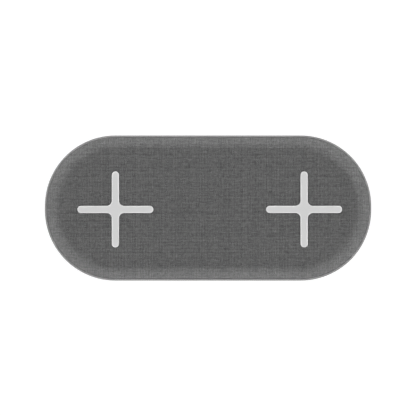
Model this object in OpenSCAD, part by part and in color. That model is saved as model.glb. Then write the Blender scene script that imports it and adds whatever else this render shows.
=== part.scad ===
// Dual wireless charging pad with a fabric top.
// Millimetres, +Z up, +X along the pad, +Y towards the power inlet.
// The origin is under the middle of the pad, on the surface it stands on.

/* [Body] */
// Overall length of the pad
pad_length = 200; // [196:1:220]
// Overall depth of the pad, front to rear
pad_depth = 88.85; // [88:0.05:96]
// Radius of the four corners of the outline
corner_r = 43.2; // [41:0.1:43.5]
// Height of the fabric's flat top above the table
fabric_top = 14; // [14:0.5:16]
// Thickness of the moulded shells' walls
wall = 1.8; // [1.6:0.1:2]
// Height of the base shell's underside above the table
foot_height = 1; // [0.8:0.1:1]

/* [Rounded edge] */
// Distance from the outline to where the flat top ends
edge_start = 10.2; // [9.8:0.1:10.4]
// Radius of the long curve where the top rolls down
edge_r = 13.2; // [12:0.2:14]
// Steepest slope of the rolled edge, in degrees
edge_slope = 27; // [25:1:28]
// Radius of the tight curve above the trim
shoulder_r = 1; // [0.9:0.1:1.4]
// Thickness of the woven cover
fabric_t = 0.6; // [0.5:0.1:0.7]
// Distance from the outline to the fabric's side
fabric_inset = 1.25; // [1.15:0.05:1.3]

/* [Trim ring] */
// Width of the base shell's ledge outside the trim
ledge = 0.35; // [0.2:0.05:0.35]
// Thickness of the trim's lip as seen from above
lip_t = 0.7; // [0.5:0.05:0.7]
// Height of the trim's lip above its flange
lip_h = 0.8; // [0.6:0.1:1]

/* [Position marks] */
// Distance between the centres of the two marks
mark_spacing = 115.5; // [114:0.5:117]
// Shift of both marks to the right of the pad's centre
mark_shift_x = 1.05; // [0:0.05:1.5]
// Shift of both marks towards the rear, negative is to the front
mark_shift_y = -0.85; // [-1:0.05:0]
// Length of each arm pair, tip to tip
mark_span = 46.5; // [40:0.5:50]
// Width of the arms
mark_width = 4.4; // [4:0.1:5]
// Radius of the fillets where the arms meet
mark_fillet = 3.2; // [2:0.1:4]
// Height that the mark stands above the fabric
mark_proud = 0.15; // [0.1:0.05:0.5]

/* [Coils] */
// Outer diameter of each coil
coil_od = 44; // [42:1:45]
// Inner diameter of each coil
coil_id = 20.5; // [20:0.5:22]
// Thickness of each coil
coil_t = 2.1; // [2:0.1:2.1]
// Turns in each layer of the coil
coil_turns = 10; // [8:1:11]
// Side of the square ferrite plate
ferrite_side = 50; // [49:0.5:50]
// Thickness of the ferrite plate
ferrite_t = 2.5; // [2.4:0.1:2.5]

/* [Electronics] */
// Width of the circuit board
board_w = 52; // [52:1:54]
// Thickness of the circuit board
board_t = 1.2; // [1:0.1:1.2]
// Diameter of each status light's pipe
pipe_d = 1.8; // [1.6:0.1:1.8]

/* [Feet] */
// Length of each rubber foot strip
foot_length = 148; // [144:1:150]
// Width of each rubber foot strip
foot_width = 8; // [7:0.2:8.4]

/* [Hidden] */
$fn = 96;
// Small overlaps that join shapes or carry a cut through a face
eps = 0.01;
bite = 0.1;
past = 1;

// Sides of the pad
LEFT = -1;
RIGHT = 1;

// Centres of the corner arcs
arc_x = pad_length / 2 - corner_r;
arc_y = pad_depth / 2 - corner_r;

// Heights, from the table up
floor_z = foot_height + wall;
base_rim_z = 7.8;
flange_t = 0.7;
hem_z = base_rim_z + flange_t;
skirt_z = hem_z + fabric_t;
shell_top = fabric_top - fabric_t;
shell_t = 1.6;
ceiling_z = shell_top - shell_t;
spigot_z = 6.6;

// Widths of the turned-in edges, inwards from the outline
spigot_inset = 4.3;
spigot_t = 1;
flange_inset = 4.2;
hem_inset = 4;

// Depth of the seat that each mark stands in
mark_seat = 0.4;

// The rolled edge: x is the distance from a corner arc's centre. The top
// follows a long arc, then a straight slope, then the shoulder's small arc.
flat_x = corner_r - edge_start;
fabric_x = corner_r - fabric_inset;
slope_out = [sin(edge_slope), cos(edge_slope)];
slope_down = [cos(edge_slope), -sin(edge_slope)];
edge_centre = [flat_x, fabric_top - edge_r];
shoulder_x = fabric_x - shoulder_r;
side_z = edge_centre[1] + (edge_r - shoulder_r
    - slope_out[0] * (shoulder_x - flat_x)) / slope_out[1];
shoulder_centre = [shoulder_x, side_z];
// Degrees by which the arc's sector runs on below the straight slope
arc_overlap = 4;
far = 60;

// The base shell's lower edge
base_round = wall * 2;
round_x = corner_r - base_round;
round_z = foot_height + base_round;

// Coil stack, from the shell's ceiling down
tape_t = 0.4;
tape_margin = 1;
coil_z = ceiling_z - tape_t - coil_t;
ferrite_z = coil_z - ferrite_t;
ferrite_cut = 4;
carrier_t = 1.2;
carrier_z = ferrite_z - carrier_t;
carrier_gap = 0.2;
carrier_rim = 1;
carrier_rim_h = 1.6;
carrier_window = 30;
ear_y = 30;
ear_r = 3.2;
ear_post_d = 5;
slot_w = 6;
slot_depth = 1.3;
slot_y = -1;
slot_start = 6;
lead_r = 0.5;
sensor_lead_r = 0.25;
bead_d = 4.5;
bead_h = 1.5;

// Board and what stands on it
board_z = 6.3;
board_top = board_z + board_t;
board_front = -pad_depth / 2 + 11.25;
board_rear = pad_depth / 2 - 6.25;
board_tab_w = 13;
board_tab_rear = board_rear + 3.6;
post_x = board_w / 2 - 4;
post_front = board_front + 4;
post_rear = board_rear - 5;
post_d = 5;
// Where the coils' wires land on the board
wire_end_x = board_w / 2 - 4;
// How far a lead floats above the board, on its solder
solder_gap = 0.03;

// Screws
housing_screw_x = 67.5;
housing_screw_y = 31;
boss_z = 5;
boss_d = 6;
base_boss_d = 7.5;
foot_recess = 0.8;
foot_clearance = 0.1;
housing_head_d = 4.4;
housing_head_h = 1.3;
housing_seat_z = 3.4;
housing_shaft_d = 2.2;
housing_tip_z = 10.4;
small_head_d = 3.6;
small_head_h = 1.2;
small_shaft_d = 1.8;
carrier_tip_z = ceiling_z - 1.6;
board_screw_l = 3.9;
blind = 0.4;

// Power inlet
usb_w = 8.94;
usb_h = 3.26;
usb_l = 7.35;
usb_sheet = 0.3;
usb_mouth_y = pad_depth / 2 - 0.6;
usb_z = board_z - usb_h / 2;
usb_gap = 0.17;
usb_blade_w = 6.7;
usb_blade_t = 0.7;
usb_blade_l = 4.6;

// Status lights
led_x = 14;
led_z = 5.5;
led_front = board_front - 0.2;
led_w = 3.2;
led_t = 1.6;

// Heat spreader on the floor
sheet_t = 0.8;
sheet_w = 36;
sheet_front = -24;
sheet_rear = 22;
thermal_w = 32;
thermal_front = -14;
thermal_rear = 10;

// Rating label, in a shallow seat a little larger than itself
label_size = [58, 30];
label_t = 0.15;
label_gap = 0.2;

// Centre of the charging place on one side
function mark_x(side) = side * mark_spacing / 2 + mark_shift_x;

// ---------- shared shapes ----------

// The pad's outline, moved inwards
module outline(inset = 0)
{
    r = corner_r - inset;
    union() {
        for (sx = [-1, 1], sy = [-1, 1])
            translate([sx * arc_x, sy * arc_y])
                circle(r);
        square([2 * arc_x, 2 * (arc_y + r)], center = true);
        square([2 * (arc_x + r), 2 * arc_y], center = true);
    }
}

// A section swept round the outline. The section's x is the distance from a
// corner arc's centre and its y is the height.
module around()
{
    corners = [[1, 1, 0], [-1, 1, 90], [-1, -1, 180], [1, -1, 270]];
    for (c = corners)
        translate([c[0] * arc_x, c[1] * arc_y, 0])
            rotate([0, 0, c[2]])
                rotate_extrude(angle = 90)
                    children();
    sides = [
        [-1, 1, 0, 2 * arc_x], [-1, -1, 90, 2 * arc_y],
        [1, -1, 180, 2 * arc_x], [1, 1, 270, 2 * arc_y]
    ];
    for (s = sides)
        translate([s[0] * arc_x, s[1] * arc_y, 0])
            rotate([0, 0, s[2]])
                rotate([90, 0, 90])
                    linear_extrude(s[3])
                        children();
}

// A rectangle between two corners
module area(x0, y0, x1, y1)
{
    translate([x0, y0])
        square([x1 - x0, y1 - y0]);
}

// A wedge between two directions from a point
module wedge(at, from, to)
{
    translate(at)
        polygon([[0, 0], far * [cos(from), sin(from)],
                 far * [cos(to), sin(to)]]);
}

// What lies under the long arc and the slope, moved inwards by depth
module under_slope(depth)
{
    arc_end = edge_centre + (edge_r - depth) * slope_out;
    intersection() {
        translate(edge_centre)
            circle(edge_r - depth);
        wedge(edge_centre, 90 - edge_slope - arc_overlap, 90);
    }
    polygon([edge_centre, arc_end, arc_end + far * slope_down,
             edge_centre + far * slope_down]);
}

// The rolled edge's section, moved inwards by depth and cut off at low. The
// shoulder is round as long as depth leaves it a radius.
module rolled_edge(depth, low)
{
    difference() {
        intersection() {
            area(flat_x, low, fabric_x - depth, far);
            under_slope(depth);
        }
        if (depth < shoulder_r)
            difference() {
                wedge(shoulder_centre, 0, 90 - edge_slope);
                translate(shoulder_centre)
                    circle(shoulder_r - depth);
            }
    }
}

// The plus-shaped mark's outline, grown by extra
module plus(extra = 0)
{
    w = mark_width / 2 + extra;
    reach = mark_span / 2 - mark_width / 2;
    f = mark_fillet;
    for (turn = [0, 90])
        rotate(turn) {
            square([2 * reach, 2 * w], center = true);
            for (end = [-1, 1])
                translate([end * reach, 0])
                    circle(w);
        }
    for (turn = [0 : 90 : 270])
        rotate(turn)
            difference() {
                area(0, 0, w + f, w + f);
                translate([w + f, w + f])
                    circle(f);
            }
}

// Children at one charging place
module at_mark(side)
{
    translate([mark_x(side), mark_shift_y, 0])
        children();
}

// Children at both charging places
module at_both_marks()
{
    for (side = [LEFT, RIGHT])
        at_mark(side)
            children();
}

// Children at the four housing screws
module at_housing_screws()
{
    for (sx = [-1, 1], sy = [-1, 1])
        translate([sx * housing_screw_x, sy * housing_screw_y, 0])
            children();
}

// Children at the four board posts
module at_posts()
{
    for (x = [-post_x, post_x], y = [post_front, post_rear])
        translate([x, y, 0])
            children();
}

// Children at a carrier's two ears, in the carrier's own place
module at_ears()
{
    for (y = [-ear_y, ear_y])
        translate([0, y, 0])
            children();
}

// A vertical cylinder between two heights
module post(d, low, high)
{
    translate([0, 0, low])
        cylinder(d = d, h = high - low);
}

// A square with cut corners
module cut_square(side, cut)
{
    h = side / 2;
    c = h - cut;
    polygon([[-c, -h], [c, -h], [h, -c], [h, c],
             [c, h], [-c, h], [-h, c], [-h, -c]]);
}

// A slot with round ends, as tall as h
module round_slot(w, h)
{
    for (x = [-1, 1])
        translate([x * (w - h) / 2, 0])
            circle(d = h);
    square([w - h, h], center = true);
}

// A screw pointing up, its head's flat side at seat
module screw_up(head_d, head_h, shaft_d, seat, tip)
{
    difference() {
        union() {
            post(head_d, seat - head_h, seat);
            post(shaft_d, seat - eps, tip - shaft_d / 2);
            translate([0, 0, tip - shaft_d / 2])
                cylinder(d1 = shaft_d, d2 = shaft_d / 3, h = shaft_d / 2);
        }
        for (turn = [0, 90])
            rotate(turn)
                translate([-head_d * 0.3, -head_d * 0.07, seat - head_h - past])
                    cube([head_d * 0.6, head_d * 0.14,
                          past + head_h * 0.55]);
    }
}

// Rings of points round a route of [x, z] points, all at one y
function lead_ring(at, along, y, r, sides) = [
    for (i = [0 : sides - 1])
        let (a = 360 * i / sides)
            [at[0] - along[1] * r * cos(a), y + r * sin(a),
             at[1] + along[0] * r * cos(a)]
];

function unit(v) = v / norm(v);

// The route's direction at one of its points
function heading(route, i) =
    unit(route[min(i + 1, len(route) - 1)] - route[max(i - 1, 0)]);

// A round wire along a route of [x, z] points at one y
module wire(route, y, r)
{
    sides = 8;
    n = len(route);
    rings = [for (i = [0 : n - 1])
        lead_ring(route[i], heading(route, i), y, r, sides)];
    points = [for (ring = rings) for (p = ring) p];
    skin = [for (i = [0 : n - 2]) for (k = [0 : sides - 1])
        [i * sides + k, i * sides + (k + 1) % sides,
         (i + 1) * sides + (k + 1) % sides, (i + 1) * sides + k]];
    start = [for (k = [sides - 1 : -1 : 0]) k];
    finish = [for (k = [0 : sides - 1]) (n - 1) * sides + k];
    faces = concat([start], skin, [finish]);
    polyhedron(points, faces);
}

// A box on the board's top
module chip(x, y, w, d, h)
{
    translate([x - w / 2, y - d / 2, board_top])
        cube([w, d, h]);
}

// ---------- casing ----------

module fabric_cover()
{
    color("dimgray")
        union() {
            around()
                difference() {
                    rolled_edge(0, hem_z);
                    rolled_edge(fabric_t, skirt_z);
                    area(0, 0, corner_r - hem_inset, skirt_z);
                }
            translate([0, 0, shell_top])
                linear_extrude(fabric_t)
                    difference() {
                        outline(corner_r - flat_x);
                        at_both_marks()
                            plus();
                    }
        }
}

module cross_mark(side)
{
    color("lightgray")
        at_mark(side)
            translate([0, 0, shell_top - mark_seat])
                linear_extrude(mark_seat + fabric_t + mark_proud)
                    plus();
}

module cross_mark_left() { cross_mark(LEFT); }
module cross_mark_right() { cross_mark(RIGHT); }

module trim_ring()
{
    outer = corner_r - ledge;
    color("silver")
        around()
            union() {
                area(corner_r - flange_inset, base_rim_z, outer, hem_z);
                area(outer - lip_t, base_rim_z, outer, hem_z + lip_h);
            }
}

// The top shell's section where it follows the rolled edge, and the spigot
// that drops inside the base
module top_edge()
{
    difference() {
        rolled_edge(fabric_t, skirt_z);
        rolled_edge(fabric_t + shell_t, 0);
    }
    spigot_x = corner_r - spigot_inset;
    area(spigot_x - spigot_t, spigot_z, spigot_x, ceiling_z - spigot_t / 2);
}

module top_shell()
{
    color("gray")
        difference() {
            union() {
                around()
                    top_edge();
                translate([0, 0, ceiling_z])
                    linear_extrude(shell_t)
                        outline(corner_r - flat_x);
                at_housing_screws()
                    post(boss_d, boss_z, ceiling_z + bite);
                at_both_marks()
                    at_ears()
                        post(ear_post_d, ferrite_z, ceiling_z + bite);
            }
            at_both_marks() {
                translate([0, 0, shell_top - mark_seat])
                    linear_extrude(mark_seat + past)
                        plus();
                at_ears()
                    post(small_shaft_d, ferrite_z - past,
                         carrier_tip_z + blind);
            }
            at_housing_screws()
                post(housing_shaft_d, boss_z - past, housing_tip_z + blind);
            translate([0, board_tab_rear - 3, board_top])
                cube([board_tab_w + 2, 5, 2 * board_t], center = true);
        }
}

// The base shell's upright edge, outside and in
module base_edge()
{
    difference() {
        union() {
            quarter_round(base_round);
            area(round_x, round_z, corner_r, base_rim_z);
        }
        quarter_round(base_round - wall);
        area(0, round_z, corner_r - wall, far);
    }
}

// The lower outer quarter of a circle about the base edge's centre
module quarter_round(r)
{
    intersection() {
        translate([round_x, round_z])
            circle(r);
        area(round_x, 0, corner_r, round_z);
    }
}

module base_shell()
{
    color("dimgray")
        difference() {
            union() {
                around()
                    base_edge();
                translate([0, 0, foot_height])
                    linear_extrude(wall)
                        outline(base_round);
                at_housing_screws()
                    post(base_boss_d, floor_z - bite, boss_z);
                at_posts()
                    post(post_d, floor_z - bite, board_z);
            }
            for (side = [-1, 1])
                foot_strip(side, foot_clearance);
            at_housing_screws() {
                post(housing_head_d + blind, 0, housing_seat_z);
                post(housing_shaft_d + 2 * blind, 0, boss_z + past);
            }
            at_posts()
                post(small_shaft_d, board_top - board_screw_l - blind,
                     board_z + past);
            translate([0, usb_mouth_y - usb_l / 2, usb_z])
                rotate([-90, 0, 0])
                    linear_extrude(usb_l)
                        round_slot(usb_w + 2 * usb_gap, usb_h + 2 * usb_gap);
            for (x = [-led_x, led_x])
                translate([x, -pad_depth / 2 - past, led_z])
                    rotate([-90, 0, 0])
                        cylinder(d = pipe_d, h = wall + 2 * past);
            linear_extrude(foot_height + label_t)
                square(label_size + 2 * label_gap * [1, 1], center = true);
        }
}

// The strip's solid, grown sideways by extra
module foot_strip(side, extra = 0)
{
    translate([0, side * housing_screw_y, 0])
        linear_extrude(foot_height + foot_recess)
            round_slot(foot_length + 2 * extra, foot_width + 2 * extra);
}

module foot_strip_front()
{
    color("darkgray")
        foot_strip(-1);
}

module foot_strip_rear()
{
    color("darkgray")
        foot_strip(1);
}

module rating_label()
{
    color("gainsboro")
        translate([0, 0, foot_height])
            linear_extrude(label_t)
                square(label_size, center = true);
}

module housing_screws()
{
    color("silver")
        at_housing_screws()
            screw_up(housing_head_d, housing_head_h, housing_shaft_d,
                     housing_seat_z, housing_tip_z);
}

// ---------- coils ----------

module coil(side)
{
    inner = coil_id / 2;
    outer = coil_od / 2;
    pitch = (outer - inner) / coil_turns;
    strand_r = coil_t / 4;
    color("chocolate")
        at_mark(side)
            rotate_extrude() {
                area(inner + pitch / 2, coil_z + strand_r,
                     outer - pitch / 2, coil_z + coil_t - strand_r);
                for (turn = [0 : coil_turns - 1], layer = [0, 1])
                    translate([inner + pitch * (turn + 0.5),
                               coil_z + strand_r * (1 + 2 * layer)])
                        circle(strand_r);
            }
}

module coil_left() { coil(LEFT); }
module coil_right() { coil(RIGHT); }

module coil_tape(side)
{
    color("khaki")
        at_mark(side)
            translate([0, 0, ceiling_z - tape_t])
                linear_extrude(tape_t)
                    difference() {
                        circle(d = coil_od - 2 * tape_margin);
                        circle(d = coil_id + 2 * tape_margin);
                    }
}

module coil_tape_left() { coil_tape(LEFT); }
module coil_tape_right() { coil_tape(RIGHT); }

// The cut that the wires leave through, from start towards the board
module wire_slot(side, start, low)
{
    mirror([side == LEFT ? 0 : 1, 0, 0])
        translate([start, slot_y - slot_w / 2, low])
            cube([ferrite_side, slot_w, ferrite_t + past]);
}

module ferrite(side)
{
    color("darkslategray")
        at_mark(side)
            difference() {
                translate([0, 0, ferrite_z])
                    linear_extrude(ferrite_t)
                        cut_square(ferrite_side, ferrite_cut);
                wire_slot(side, slot_start, coil_z - slot_depth);
            }
}

module ferrite_left() { ferrite(LEFT); }
module ferrite_right() { ferrite(RIGHT); }

module coil_carrier(side)
{
    inner = ferrite_side + 2 * carrier_gap;
    outer = inner + 2 * carrier_rim;
    color("whitesmoke")
        at_mark(side)
            difference() {
                union() {
                    translate([0, 0, carrier_z])
                        linear_extrude(carrier_t + carrier_rim_h)
                            cut_square(outer, ferrite_cut);
                    translate([0, 0, carrier_z])
                        linear_extrude(carrier_t)
                            union() {
                                for (y = [-ear_y, ear_y])
                                    translate([0, y])
                                        circle(ear_r);
                                square([2 * ear_r, 2 * ear_y],
                                       center = true);
                            }
                }
                translate([0, 0, ferrite_z])
                    linear_extrude(carrier_rim_h + past)
                        cut_square(inner, ferrite_cut);
                translate([0, 0, carrier_z - past])
                    linear_extrude(carrier_t + 2 * past)
                        square(carrier_window, center = true);
                at_ears()
                    post(small_shaft_d + 0.2, carrier_z - past,
                         ferrite_z + past);
                wire_slot(side, carrier_window / 2, ferrite_z);
            }
}

module coil_carrier_left() { coil_carrier(LEFT); }
module coil_carrier_right() { coil_carrier(RIGHT); }

module carrier_screws()
{
    color("silver")
        for (side = [LEFT, RIGHT])
            at_mark(side)
                at_ears()
                    screw_up(small_head_d, small_head_h, small_shaft_d,
                             carrier_z, carrier_tip_z);
}

// Points of a wire from the board's edge to its solder pad
function landing(side, z) = [
    [side * board_w / 2, z + 0.1], [side * (board_w / 2 - 1.6), z],
    [side * wire_end_x, z]
];

module coil_leads(side)
{
    c = mark_x(side);
    z = board_top + lead_r + solder_gap;
    high = coil_z + 0.9;
    low = coil_z - lead_r - 0.12;
    outer_lead = concat([
        [c - side * 22.6, high], [c - side * 24.8, high],
        [c - side * 26.6, high - 0.3], [c - side * 28.4, high - 1.1]
    ], landing(side, z));
    inner_lead = concat([
        [c - side * 8.3, high + 0.4], [c - side * 8.5, high - 0.3],
        [c - side * 9, high - 1.1], [c - side * 10, low],
        [c - side * 12, low], [c - side * 26, low],
        [c - side * 27.6, low - 0.28]
    ], landing(side, z));
    color("peru") {
        wire(outer_lead, mark_shift_y + 3.4, lead_r);
        wire(inner_lead, mark_shift_y - 3, lead_r);
    }
}

module coil_leads_left() { coil_leads(LEFT); }
module coil_leads_right() { coil_leads(RIGHT); }

module thermistor(side)
{
    color("saddlebrown")
        at_mark(side)
            post(bead_d, coil_z, coil_z + bead_h);
}

module thermistor_left() { thermistor(LEFT); }
module thermistor_right() { thermistor(RIGHT); }

module sensor_leads(side)
{
    c = mark_x(side);
    z = board_top + sensor_lead_r + solder_gap;
    low = coil_z - 0.6;
    route = concat([
        [c - side * (bead_d / 2 + 0.05), coil_z + 0.7],
        [c - side * 4.4, coil_z + 0.6], [c - side * 6.2, coil_z - 0.1],
        [c - side * 7.6, low], [c - side * 26, low],
        [c - side * 27.6, low - 0.2]
    ], landing(side, z));
    color("gold")
        for (y = [-0.6, 0.6])
            wire(route, mark_shift_y + y, sensor_lead_r);
}

module sensor_leads_left() { sensor_leads(LEFT); }
module sensor_leads_right() { sensor_leads(RIGHT); }

// ---------- electronics ----------

module main_board()
{
    color("darkgreen")
        difference() {
            translate([0, 0, board_z])
                linear_extrude(board_t)
                    union() {
                        area(-board_w / 2, board_front,
                             board_w / 2, board_rear);
                        area(-board_tab_w / 2, board_rear - past,
                             board_tab_w / 2, board_tab_rear);
                    }
            at_posts()
                post(small_shaft_d + blind, board_z - past,
                     board_top + past);
        }
}

module board_screws()
{
    color("silver")
        at_posts()
            translate([0, 0, board_top])
                mirror([0, 0, 1])
                    screw_up(small_head_d, small_head_h, small_shaft_d,
                             0, board_screw_l);
}

module usb_c_shell()
{
    color("silver")
        translate([0, usb_mouth_y, usb_z])
            rotate([90, 0, 0])
                linear_extrude(usb_l)
                    difference() {
                        round_slot(usb_w, usb_h);
                        round_slot(usb_w - 2 * usb_sheet,
                                   usb_h - 2 * usb_sheet);
                    }
}

module usb_c_tongue()
{
    back = usb_mouth_y - usb_l;
    block_l = 1.9;
    color("black")
        union() {
            translate([0, back + block_l, usb_z])
                rotate([90, 0, 0])
                    linear_extrude(block_l)
                        round_slot(usb_w - 2 * usb_sheet,
                                   usb_h - 2 * usb_sheet);
            translate([-usb_blade_w / 2, back + block_l - eps,
                       usb_z - usb_blade_t / 2])
                cube([usb_blade_w, usb_blade_l, usb_blade_t]);
        }
}

module charge_controller(side)
{
    color("black")
        chip(side * 13, -8, 7, 7, 0.9);
}

module charge_controller_left() { charge_controller(LEFT); }
module charge_controller_right() { charge_controller(RIGHT); }

module input_controller()
{
    color("black")
        chip(0, 27, 4, 4, 0.8);
}

module bridge_transistors(side)
{
    color("black")
        for (x = [8.6, 13, 17.4])
            chip(side * x, 1, 3.3, 3.3, 1);
}

module bridge_transistors_left() { bridge_transistors(LEFT); }
module bridge_transistors_right() { bridge_transistors(RIGHT); }

module resonant_capacitors(side)
{
    color("tan")
        for (x = [8.2, 11.4, 14.6, 17.8])
            chip(side * x, 7.4, 2.5, 3.2, 1.8);
}

module resonant_capacitors_left() { resonant_capacitors(LEFT); }
module resonant_capacitors_right() { resonant_capacitors(RIGHT); }

module power_inductor(side)
{
    color("dimgray")
        translate([side * 13, 17.5, board_top])
            difference() {
                linear_extrude(3)
                    cut_square(8, 1.4);
                translate([0, 0, 2.4])
                    linear_extrude(1)
                        difference() {
                            circle(d = 7);
                            circle(d = 4.4);
                        }
            }
}

module power_inductor_left() { power_inductor(LEFT); }
module power_inductor_right() { power_inductor(RIGHT); }

module bulk_capacitors()
{
    color("goldenrod")
        for (x = [-8, 8])
            chip(x, 30, 4.3, 7.3, 2.9);
}

module board_crystal()
{
    color("silver")
        chip(0, -8, 3.2, 2.5, 0.8);
}

module small_passives()
{
    color("burlywood") {
        for (x = [-20 : 4 : 20], y = [-24, -20, -16])
            chip(x, y, 1.6, 0.8, 0.5);
        for (x = [-3, 0, 3], y = [4, 8, 12, 16, 20])
            chip(x, y, 0.8, 1.6, 0.5);
    }
}

module status_led(side)
{
    color("white")
        translate([side * led_x - led_w / 2, led_front, board_z - led_t])
            cube([led_w, led_t, led_t]);
}

module status_led_left() { status_led(LEFT); }
module status_led_right() { status_led(RIGHT); }

module light_pipe(side)
{
    color("white")
        translate([side * led_x, -pad_depth / 2, led_z])
            rotate([-90, 0, 0])
                cylinder(d = pipe_d, h = led_front + pad_depth / 2 - bite);
}

module light_pipe_left() { light_pipe(LEFT); }
module light_pipe_right() { light_pipe(RIGHT); }

module heat_spreader()
{
    color("gainsboro")
        translate([-sheet_w / 2, sheet_front, floor_z])
            cube([sheet_w, sheet_rear - sheet_front, sheet_t]);
}

module thermal_pad()
{
    color("lightsteelblue")
        translate([-thermal_w / 2, thermal_front, floor_z + sheet_t])
            cube([thermal_w, thermal_rear - thermal_front,
                  board_z - floor_z - sheet_t]);
}

fabric_cover();
cross_mark_left();
cross_mark_right();
trim_ring();
top_shell();
base_shell();
foot_strip_front();
foot_strip_rear();
rating_label();
housing_screws();
coil_left();
coil_right();
coil_tape_left();
coil_tape_right();
ferrite_left();
ferrite_right();
coil_carrier_left();
coil_carrier_right();
carrier_screws();
coil_leads_left();
coil_leads_right();
thermistor_left();
thermistor_right();
sensor_leads_left();
sensor_leads_right();
main_board();
board_screws();
usb_c_shell();
usb_c_tongue();
charge_controller_left();
charge_controller_right();
input_controller();
bridge_transistors_left();
bridge_transistors_right();
resonant_capacitors_left();
resonant_capacitors_right();
power_inductor_left();
power_inductor_right();
bulk_capacitors();
board_crystal();
small_passives();
status_led_left();
status_led_right();
light_pipe_left();
light_pipe_right();
heat_spreader();
thermal_pad();
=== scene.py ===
"""A dual wireless charging pad with a woven top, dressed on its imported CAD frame.

Lengths in the mesh code are millimetres in the CAD's frame and become metres when
a mesh is made. Lengths in the materials are metres.
"""

import math

import bpy
import numpy as np
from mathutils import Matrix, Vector, geometry, kdtree, noise


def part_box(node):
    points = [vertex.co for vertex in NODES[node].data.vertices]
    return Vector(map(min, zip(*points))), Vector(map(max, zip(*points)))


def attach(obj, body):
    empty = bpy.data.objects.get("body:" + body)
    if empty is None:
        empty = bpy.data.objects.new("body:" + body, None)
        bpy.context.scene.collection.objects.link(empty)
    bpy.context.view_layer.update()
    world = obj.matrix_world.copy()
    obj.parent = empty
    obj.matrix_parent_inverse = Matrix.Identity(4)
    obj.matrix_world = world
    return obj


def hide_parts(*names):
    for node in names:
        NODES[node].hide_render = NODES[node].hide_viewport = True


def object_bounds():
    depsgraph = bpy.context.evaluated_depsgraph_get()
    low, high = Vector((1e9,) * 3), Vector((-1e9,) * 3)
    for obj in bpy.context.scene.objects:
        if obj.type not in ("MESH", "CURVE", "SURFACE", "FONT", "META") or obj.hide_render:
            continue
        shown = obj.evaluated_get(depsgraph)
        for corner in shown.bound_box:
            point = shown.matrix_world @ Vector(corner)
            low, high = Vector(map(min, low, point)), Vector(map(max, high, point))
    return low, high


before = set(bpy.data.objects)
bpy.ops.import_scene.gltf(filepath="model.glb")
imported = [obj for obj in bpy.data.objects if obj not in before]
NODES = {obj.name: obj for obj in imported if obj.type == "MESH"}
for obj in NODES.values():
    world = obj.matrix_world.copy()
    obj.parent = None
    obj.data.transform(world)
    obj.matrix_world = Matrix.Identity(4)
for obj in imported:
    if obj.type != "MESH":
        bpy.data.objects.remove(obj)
CAD_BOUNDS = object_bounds()

MM = 0.001
BODY = "root"


def box_mm(node):
    """The lowest and highest corners of a CAD node, in millimetres."""
    low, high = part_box(node)
    return np.array(low) / MM, np.array(high) / MM


# --------------------------------------------------------------------------
# Sizes that repeat the CAD's own
# --------------------------------------------------------------------------
CORNER_R = 43.2          # corner arcs of the outline
FABRIC_INSET = 1.25      # the cloth's side, in from the outline
HEM_INSET = 4.0          # the hem's cut edge
LEDGE = 0.35             # base rim left free outside the trim
FLANGE_INSET = 4.2       # the inner edge of the trim's flange
MARK_W = 4.4             # width of a mark's arms
MARK_FILLET = 3.2        # radius in the corners between the arms

BASE_HIGH = box_mm("base_shell")[1]
CLOTH_LOW, CLOTH_HIGH = box_mm("fabric_cover")
TRIM_LOW, TRIM_HIGH = box_mm("trim_ring")
ARC_X = BASE_HIGH[0] - CORNER_R
ARC_Y = BASE_HIGH[1] - CORNER_R


# --------------------------------------------------------------------------
# Mesh helpers
# --------------------------------------------------------------------------
def arc(centre, radius, start, end, steps):
    """Points of an arc in a plane, both ends included, angles in degrees."""
    angles = np.radians(np.linspace(start, end, steps + 1))
    return [
        (centre[0] + radius * math.cos(a), centre[1] + radius * math.sin(a))
        for a in angles
    ]


def add_piece(name, points, faces, finish, smooth=True):
    """A new mesh object from points in millimetres, riding on the pad."""
    mesh = bpy.data.meshes.new(name)
    mesh.from_pydata([tuple(MM * c for c in p) for p in points], [], faces)
    mesh.validate()
    if smooth:
        mesh.shade_smooth()
    else:
        mesh.shade_flat()
    piece = bpy.data.objects.new(name, mesh)
    bpy.context.scene.collection.objects.link(piece)
    mesh.materials.append(finish)
    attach(piece, BODY)
    return piece


def bake_modifiers(piece):
    """Replaces the piece's mesh by what its modifiers make of it."""
    graph = bpy.context.evaluated_depsgraph_get()
    mesh = bpy.data.meshes.new_from_object(piece.evaluated_get(graph))
    piece.modifiers.clear()
    piece.data = mesh


def ring_faces(lower, upper):
    """Quads between two closed rings of as many vertices."""
    count = len(lower)
    return [
        (lower[i], upper[i], upper[(i + 1) % count], lower[(i + 1) % count])
        for i in range(count)
    ]


def walk_outline(arc_steps, side_steps, end_steps):
    """Once round the pad: each point's arc centre and its outward direction."""
    centres, normals = [], []

    def add(x, y, angle):
        centres.append((x, y))
        normals.append((math.cos(angle), math.sin(angle)))

    corners = ((1, 1), (-1, 1), (-1, -1), (1, -1))
    for quarter, (side_x, side_y) in enumerate(corners):
        here = np.array((side_x * ARC_X, side_y * ARC_Y))
        for k in range(arc_steps + 1):
            add(*here, math.radians(90 * (quarter + k / arc_steps)))
        next_x, next_y = corners[(quarter + 1) % 4]
        there = np.array((next_x * ARC_X, next_y * ARC_Y))
        steps = side_steps if quarter % 2 == 0 else end_steps
        for k in range(1, steps):
            add(*(here + (there - here) * k / steps), math.radians(90 * (quarter + 1)))
    return np.array(centres), np.array(normals)


def sweep(name, profile, steps, finish):
    """A closed profile swept round the pad.

    The profile's points are (distance from the arc centre, height).
    """
    centres, normals = walk_outline(*steps)
    count = len(centres)
    points, rings = [], []
    for rho, z in profile:
        ring = centres + normals * rho
        rings.append(range(len(points), len(points) + count))
        points += [(x, y, z) for x, y in ring]
    faces = []
    for k in range(len(profile)):
        faces += ring_faces(rings[k - 1], rings[k])
    return add_piece(name, points, faces, finish)


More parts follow.
